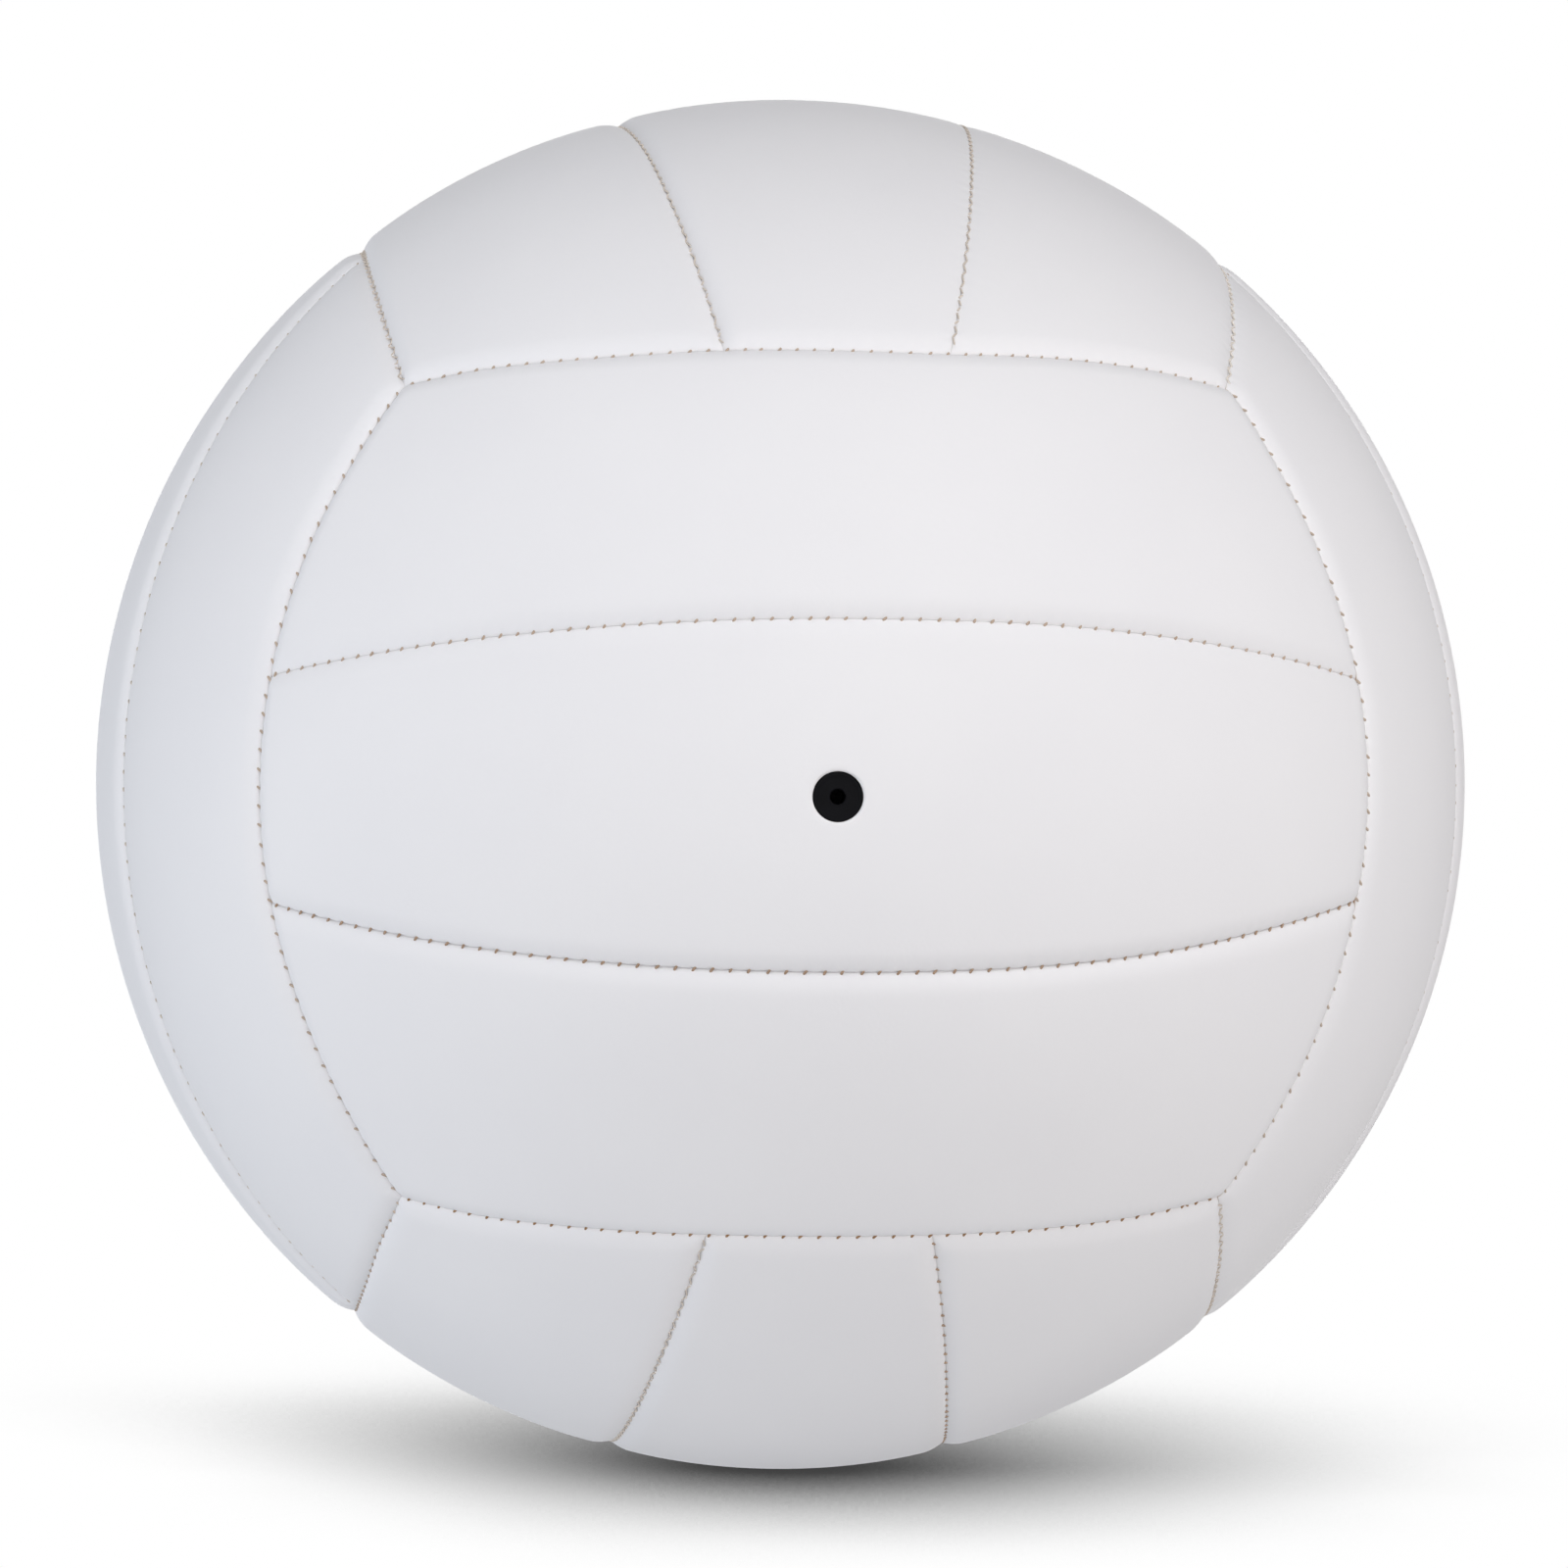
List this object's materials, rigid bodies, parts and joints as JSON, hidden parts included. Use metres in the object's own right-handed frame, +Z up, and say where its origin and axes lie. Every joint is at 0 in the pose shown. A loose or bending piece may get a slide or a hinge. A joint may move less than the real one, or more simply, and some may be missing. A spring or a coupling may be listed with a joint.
{
  "type": "volleyball",
  "caption": "Indoor volleyball: stitched cover of long curved panels over foam and cloth, with an air bladder and a rubber inflation valve.",
  "frame": {"origin": "centre of the ball", "axes": "-Y through the middle of the valve, +Z up through the middle of the top face, +X to the right seen from the valve"},
  "size_m": [0.21, 0.2099, 0.21],
  "materials": {
    "cover_leather": "satin",
    "foam": "matte",
    "backing_cloth": "matte",
    "seam_thread": "matte",
    "bladder_rubber": "matte",
    "valve_rubber": "matte",
    "plug_rubber": "matte"
  },
  "bodies": {
    "root": {"cover_front_lower": "cover_leather", "cover_front_middle": "cover_leather", "cover_front_upper": "cover_leather", "cover_back_lower": "cover_leather", "cover_back_middle": "cover_leather", "cover_back_upper": "cover_leather", "cover_top_right": "cover_leather", "cover_top_middle": "cover_leather", "cover_top_left": "cover_leather", "cover_bottom_right": "cover_leather", "cover_bottom_middle": "cover_leather", "cover_bottom_left": "cover_leather", "cover_left_front": "cover_leather", "cover_left_middle": "cover_leather", "cover_left_back": "cover_leather", "cover_right_front": "cover_leather", "cover_right_middle": "cover_leather", "cover_right_back": "cover_leather", "foam_front_lower": "foam", "foam_front_middle": "foam", "foam_front_upper": "foam", "foam_back_lower": "foam", "foam_back_middle": "foam", "foam_back_upper": "foam", "foam_top_right": "foam", "foam_top_middle": "foam", "foam_top_left": "foam", "foam_bottom_right": "foam", "foam_bottom_middle": "foam", "foam_bottom_left": "foam", "foam_left_front": "foam", "foam_left_middle": "foam", "foam_left_back": "foam", "foam_right_front": "foam", "foam_right_middle": "foam", "foam_right_back": "foam", "backing_front_lower": "backing_cloth", "backing_front_middle": "backing_cloth", "backing_front_upper": "backing_cloth", "backing_back_lower": "backing_cloth", "backing_back_middle": "backing_cloth", "backing_back_upper": "backing_cloth", "backing_top_right": "backing_cloth", "backing_top_middle": "backing_cloth", "backing_top_left": "backing_cloth", "backing_bottom_right": "backing_cloth", "backing_bottom_middle": "backing_cloth", "backing_bottom_left": "backing_cloth", "backing_left_front": "backing_cloth", "backing_left_middle": "backing_cloth", "backing_left_back": "backing_cloth", "backing_right_front": "backing_cloth", "backing_right_middle": "backing_cloth", "backing_right_back": "backing_cloth", "strip_seam_thread": "seam_thread", "edge_seam_thread": "seam_thread", "bladder": "bladder_rubber", "valve_housing": "valve_rubber", "valve_plug": "plug_rubber"}
  },
  "joints": []
}
